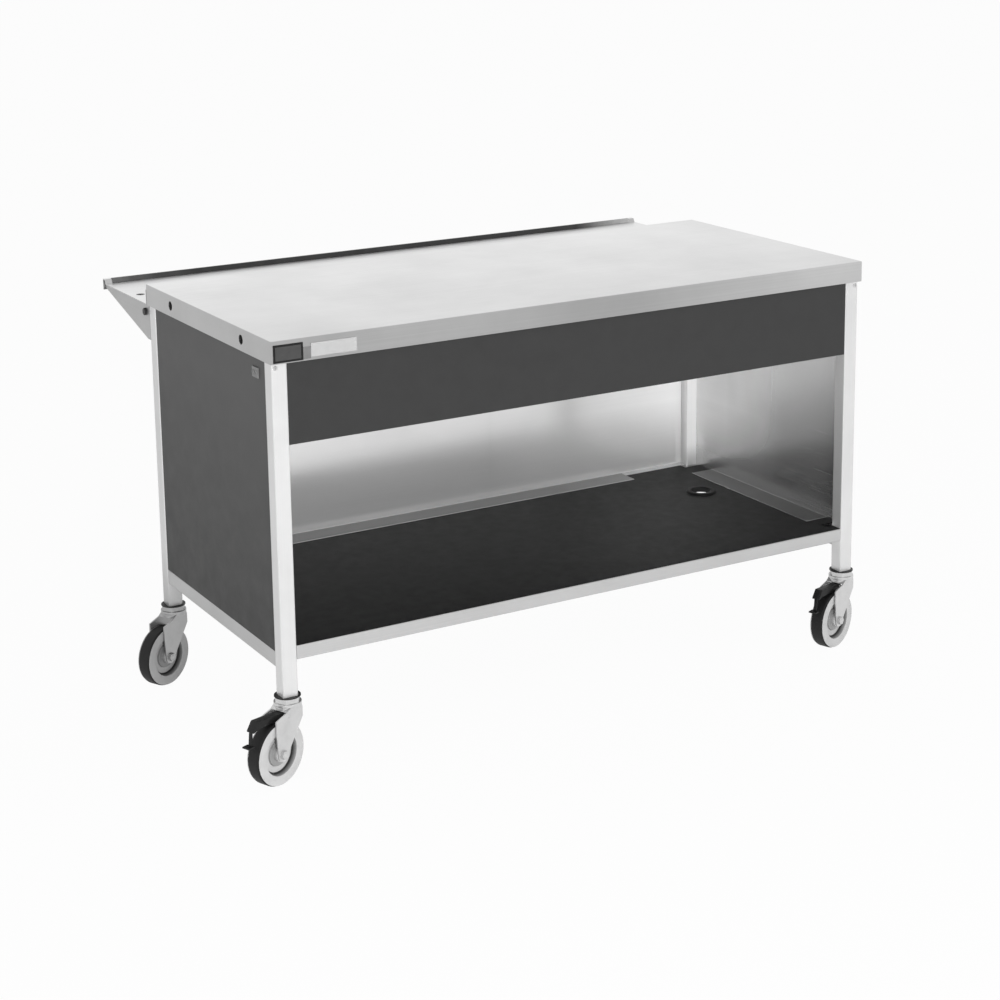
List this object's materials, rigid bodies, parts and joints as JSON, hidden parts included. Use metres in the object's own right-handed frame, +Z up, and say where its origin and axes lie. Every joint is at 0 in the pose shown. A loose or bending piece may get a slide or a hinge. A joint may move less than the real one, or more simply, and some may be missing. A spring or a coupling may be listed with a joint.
{
  "type": "mobile serving counter",
  "caption": "Mobile cafeteria serving counter: stainless work top, dark end panels and apron, open storage bay with a bottom shelf, a tray slide on the customer side and swivel casters.",
  "frame": {"origin": "on the floor under the middle of the work top", "axes": "+X along the counter, +Y to the customer side with the tray slide, +Z up"},
  "size_m": [1.482, 0.9234, 0.864],
  "materials": {
    "stainless_top": "satin",
    "stainless_liner": "satin",
    "stainless_frame": "satin",
    "dark_panel": "textured satin",
    "dark_shelf": "semi gloss",
    "black_rubber": "matt",
    "tyre": "matt",
    "wheel_metal": "satin",
    "zinc": "bright zinc plate",
    "bronze": "plain",
    "black_pedal": "satin",
    "dark_bolt": "oxide black",
    "dark_plate": "satin",
    "pale_plate": "satin"
  },
  "bodies": {
    "counter": {"back_liner": "stainless_liner", "back_panel": "dark_panel", "bottom_rail_back": "stainless_frame", "bottom_rail_front": "stainless_frame", "bottom_rail_left": "stainless_frame", "bottom_rail_right": "stainless_frame", "bottom_shelf": "dark_shelf", "caster_stem_back_left": "zinc", "caster_stem_back_right": "zinc", "caster_stem_front_left": "zinc", "caster_stem_front_right": "zinc", "countertop": "stainless_top", "end_liner_left": "stainless_liner", "end_liner_right": "stainless_liner", "end_panel_left": "dark_panel", "end_panel_right": "dark_panel", "fixing_screws": "zinc", "front_apron": "dark_panel", "interlock_sleeves": "dark_bolt", "keeper_plate": "zinc", "label_plate": "pale_plate", "leg_back_left": "stainless_frame", "leg_back_right": "stainless_frame", "leg_front_left": "stainless_frame", "leg_front_right": "stainless_frame", "nameplate_blank": "dark_plate", "shelf_channels": "stainless_frame", "shelf_grommet": "black_rubber", "slide_bolts": "dark_bolt", "slide_bracket_left": "stainless_frame", "slide_bracket_right": "stainless_frame", "top_channels": "stainless_frame", "top_rail_back": "stainless_frame", "top_rail_front": "stainless_frame", "top_rail_left": "stainless_frame", "top_rail_right": "stainless_frame", "tray_slide": "stainless_top"},
    "swivel_front_left": {"caster_fork_front_left": "zinc", "caster_bolts_front_left": "zinc"},
    "wheel_front_left": {"wheel_core_front_left": "wheel_metal", "wheel_bush_front_left": "bronze", "tyre_front_left": "tyre"},
    "brake_front_left": {"brake_pedal_front_left": "black_pedal"},
    "swivel_front_right": {"caster_fork_front_right": "zinc", "caster_bolts_front_right": "zinc"},
    "wheel_front_right": {"wheel_core_front_right": "wheel_metal", "wheel_bush_front_right": "bronze", "tyre_front_right": "tyre"},
    "brake_front_right": {"brake_pedal_front_right": "black_pedal"},
    "swivel_back_left": {"caster_fork_back_left": "zinc", "caster_bolts_back_left": "zinc"},
    "wheel_back_left": {"wheel_core_back_left": "wheel_metal", "wheel_bush_back_left": "bronze", "tyre_back_left": "tyre"},
    "swivel_back_right": {"caster_fork_back_right": "zinc", "caster_bolts_back_right": "zinc"},
    "wheel_back_right": {"wheel_core_back_right": "wheel_metal", "wheel_bush_back_right": "bronze", "tyre_back_right": "tyre"}
  },
  "joints": [
    {"name": "swivel_front_left", "type": "hinge", "parent": "counter", "child": "swivel_front_left", "pos_m": [-0.671, -0.2905, 0.146], "axis": [0, 0, 1], "continuous": true},
    {"name": "roll_front_left", "type": "hinge", "parent": "swivel_front_left", "child": "wheel_front_left", "pos_m": [-0.70598, -0.30535, 0.0635], "axis": [0.3907, -0.9205, 0], "continuous": true},
    {"name": "brake_front_left", "type": "hinge", "parent": "swivel_front_left", "child": "brake_front_left", "pos_m": [-0.68941, -0.29831, 0.1355], "axis": [-0.3907, 0.9205, 0], "range_deg": [0, 12]},
    {"name": "swivel_front_right", "type": "hinge", "parent": "counter", "child": "swivel_front_right", "pos_m": [0.671, -0.2905, 0.146], "axis": [0, 0, 1], "continuous": true},
    {"name": "roll_front_right", "type": "hinge", "parent": "swivel_front_right", "child": "wheel_front_right", "pos_m": [0.63529, -0.3035, 0.0635], "axis": [0.342, -0.9397, 0], "continuous": true},
    {"name": "brake_front_right", "type": "hinge", "parent": "swivel_front_right", "child": "brake_front_right", "pos_m": [0.65221, -0.29734, 0.1355], "axis": [-0.342, 0.9397, 0], "range_deg": [0, 12]},
    {"name": "swivel_back_left", "type": "hinge", "parent": "counter", "child": "swivel_back_left", "pos_m": [-0.671, 0.2955, 0.146], "axis": [0, 0, 1], "continuous": true},
    {"name": "roll_back_left", "type": "hinge", "parent": "swivel_back_left", "child": "wheel_back_left", "pos_m": [-0.70486, 0.27825, 0.0635], "axis": [0.454, -0.891, 0], "continuous": true},
    {"name": "swivel_back_right", "type": "hinge", "parent": "counter", "child": "swivel_back_right", "pos_m": [0.671, 0.2955, 0.146], "axis": [0, 0, 1], "continuous": true},
    {"name": "roll_back_right", "type": "hinge", "parent": "swivel_back_right", "child": "wheel_back_right", "pos_m": [0.63577, 0.28126, 0.0635], "axis": [0.3746, -0.9272, 0], "continuous": true}
  ]
}
